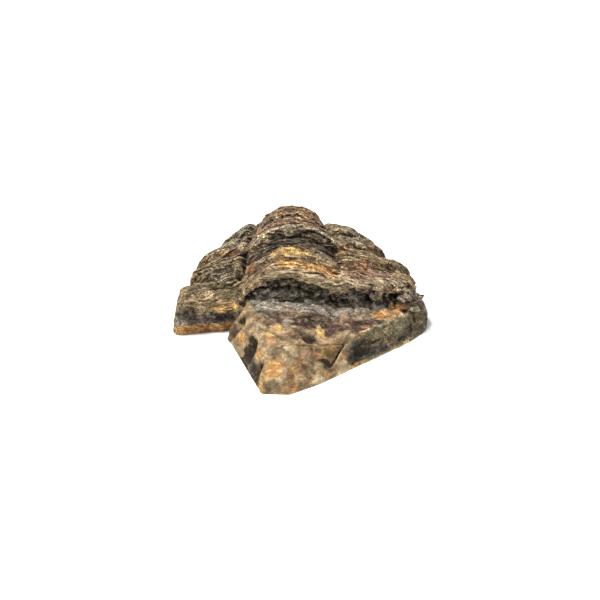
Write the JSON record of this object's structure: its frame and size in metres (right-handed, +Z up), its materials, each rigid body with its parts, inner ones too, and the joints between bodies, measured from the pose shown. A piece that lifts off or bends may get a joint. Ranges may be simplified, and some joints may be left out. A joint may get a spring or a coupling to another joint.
{
  "type": "trilobite fossil",
  "caption": "Weathered trilobite fossil in one piece of stone: a ribbed, arched body over a low, broken head, lying on a flat base.",
  "frame": {"origin": "on the ground under the middle of the stone's bounding box", "axes": "+Z up out of the flat base, +Y from the head towards the tail, +X across the body"},
  "size_m": [0.0491, 0.0468, 0.0184],
  "materials": {
    "fossil_stone": "rough, weathered brown and ochre limestone"
  },
  "bodies": {
    "root": {"trilobite_fossil": "fossil_stone"}
  },
  "joints": []
}
